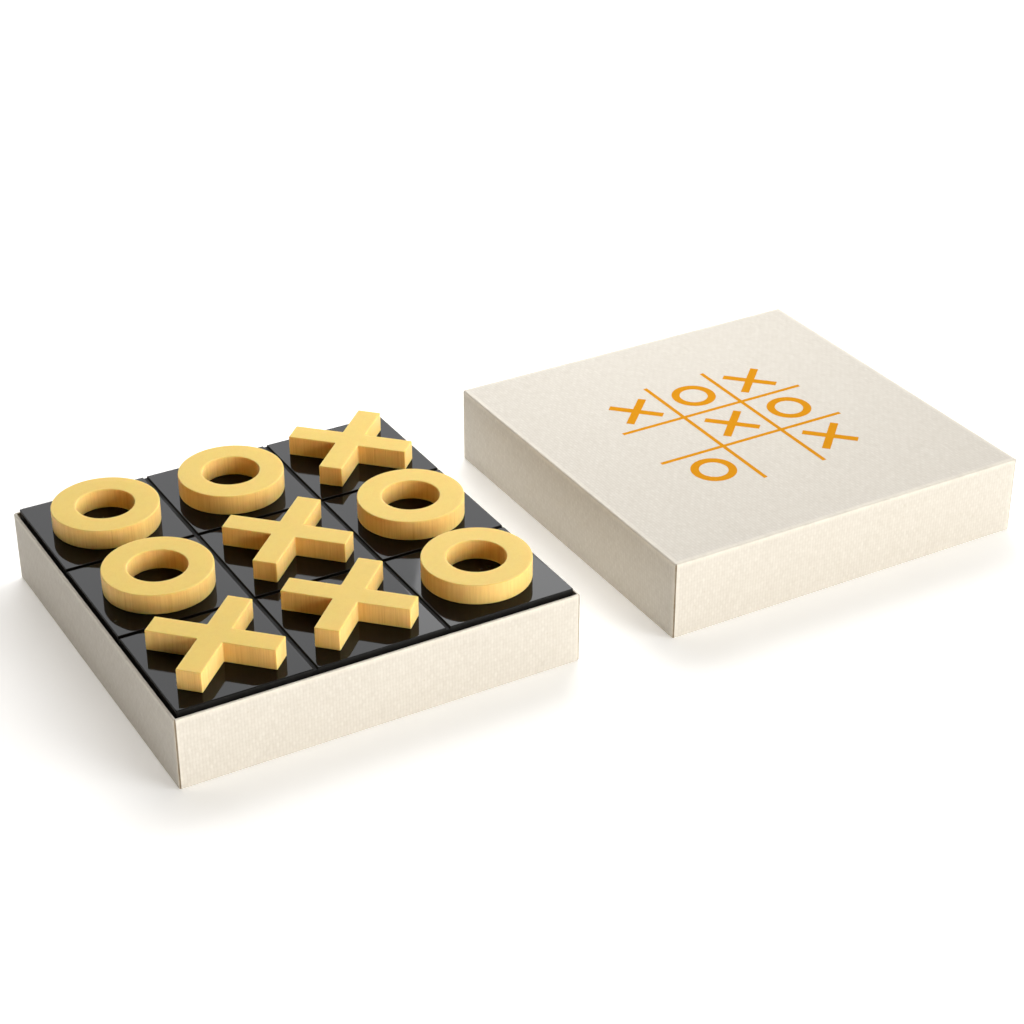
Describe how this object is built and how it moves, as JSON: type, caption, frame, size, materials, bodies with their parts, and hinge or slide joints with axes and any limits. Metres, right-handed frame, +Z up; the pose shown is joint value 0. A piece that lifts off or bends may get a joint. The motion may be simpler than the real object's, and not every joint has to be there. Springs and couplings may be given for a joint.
{
  "type": "tic-tac-toe set",
  "caption": "Square paper-covered box with a lift-off lid, holding a glossy black grooved board with wooden ring and cross playing pieces.",
  "frame": {"origin": "centre of the tray's underside, on the table", "axes": "+X from the tray towards the lid, +Y away from the player, +Z up"},
  "size_m": [0.4423, 0.2018, 0.0481],
  "materials": {
    "linen_paper": "off-white linen-textured cover paper, matt",
    "greyboard": "bare recycled greyboard",
    "kraft_tape": "gummed kraft tape",
    "black_paper": "black lining paper, matt",
    "black_gloss": "polished black gloss",
    "pale_wood": "pale hardwood, thin satin varnish"
  },
  "bodies": {
    "base": {"base_wrap": "linen_paper", "base_blank": "greyboard", "base_corner_stay_1": "kraft_tape", "base_corner_stay_2": "kraft_tape", "base_corner_stay_3": "kraft_tape", "base_corner_stay_4": "kraft_tape", "base_liner": "black_paper", "ledge_front": "black_paper", "ledge_back": "black_paper", "ledge_left": "black_paper", "ledge_right": "black_paper"},
    "board": {"board": "black_gloss"},
    "nought_1": {"nought_1": "pale_wood"},
    "nought_2": {"nought_2": "pale_wood"},
    "nought_3": {"nought_3": "pale_wood"},
    "nought_4": {"nought_4": "pale_wood"},
    "nought_5": {"nought_5": "pale_wood"},
    "cross_1": {"cross_1": "pale_wood"},
    "cross_2": {"cross_2": "pale_wood"},
    "cross_3": {"cross_3": "pale_wood"},
    "cross_4": {"cross_4": "pale_wood"},
    "lid": {"lid_wrap": "linen_paper", "lid_blank": "greyboard", "lid_corner_stay_1": "kraft_tape", "lid_corner_stay_2": "kraft_tape", "lid_corner_stay_3": "kraft_tape", "lid_corner_stay_4": "kraft_tape", "lid_liner": "black_paper"}
  },
  "joints": [
    {"name": "board_lift", "type": "slide", "parent": "base", "child": "board", "axis": [0, 0, 1], "range_m": [0, 0.06]},
    {"name": "nought_1_lift", "type": "slide", "parent": "board", "child": "nought_1", "axis": [0, 0, 1], "range_m": [0, 0.04]},
    {"name": "nought_2_lift", "type": "slide", "parent": "board", "child": "nought_2", "axis": [0, 0, 1], "range_m": [0, 0.04]},
    {"name": "nought_3_lift", "type": "slide", "parent": "board", "child": "nought_3", "axis": [0, 0, 1], "range_m": [0, 0.04]},
    {"name": "nought_4_lift", "type": "slide", "parent": "board", "child": "nought_4", "axis": [0, 0, 1], "range_m": [0, 0.04]},
    {"name": "nought_5_lift", "type": "slide", "parent": "board", "child": "nought_5", "axis": [0, 0, 1], "range_m": [0, 0.04]},
    {"name": "cross_1_lift", "type": "slide", "parent": "board", "child": "cross_1", "axis": [0, 0, 1], "range_m": [0, 0.04]},
    {"name": "cross_2_lift", "type": "slide", "parent": "board", "child": "cross_2", "axis": [0, 0, 1], "range_m": [0, 0.04]},
    {"name": "cross_3_lift", "type": "slide", "parent": "board", "child": "cross_3", "axis": [0, 0, 1], "range_m": [0, 0.04]},
    {"name": "cross_4_lift", "type": "slide", "parent": "board", "child": "cross_4", "axis": [0, 0, 1], "range_m": [0, 0.04]},
    {"name": "lid_lift", "type": "slide", "parent": "base", "child": "lid", "axis": [0, 0, 1], "range_m": [0, 0.06]}
  ]
}
